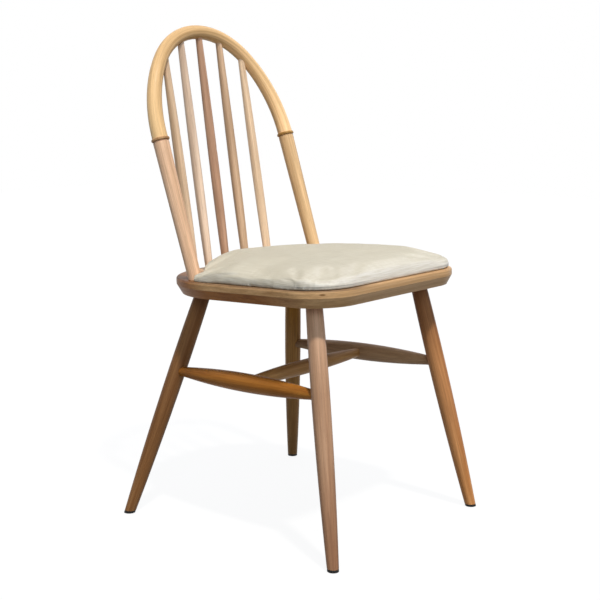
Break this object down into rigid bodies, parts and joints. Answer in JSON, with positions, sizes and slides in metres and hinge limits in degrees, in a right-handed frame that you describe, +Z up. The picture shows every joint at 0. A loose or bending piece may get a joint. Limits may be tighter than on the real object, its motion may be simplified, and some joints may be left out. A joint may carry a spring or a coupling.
{
  "type": "dining chair",
  "caption": "Wooden spindle-back dining chair with a bent hoop on collared posts, splayed turned legs joined by an H stretcher, and an upholstered seat pad.",
  "frame": {"origin": "on the floor under the middle of the chair", "axes": "+Z up, the chair faces -Y, +X is the sitter's left"},
  "size_m": [0.4822, 0.519, 0.8866],
  "materials": {
    "back_wood": "satin",
    "base_wood": "satin",
    "seat_wood": "satin",
    "inner_wood": "matte",
    "pad_fabric": "matte",
    "pad_foam": "matte",
    "glide": "matte",
    "screw": "satin"
  },
  "bodies": {
    "root": {"back_hoop": "back_wood", "collar_left": "back_wood", "collar_right": "back_wood", "cross_stretcher": "base_wood", "glide_back_left": "glide", "glide_back_right": "glide", "glide_front_left": "glide", "glide_front_right": "glide", "hoop_dowel_left": "inner_wood", "hoop_dowel_right": "inner_wood", "leg_back_left": "base_wood", "leg_back_right": "base_wood", "leg_front_left": "base_wood", "leg_front_right": "base_wood", "pad_board": "inner_wood", "pad_cover": "pad_fabric", "pad_foam": "pad_foam", "pad_screw_1": "screw", "pad_screw_2": "screw", "pad_screw_3": "screw", "pad_screw_4": "screw", "post_left": "back_wood", "post_right": "back_wood", "seat_board": "seat_wood", "side_stretcher_left": "base_wood", "side_stretcher_right": "base_wood", "spindle_1": "back_wood", "spindle_2": "back_wood", "spindle_3": "back_wood", "spindle_4": "back_wood", "spindle_5": "back_wood"}
  },
  "joints": []
}
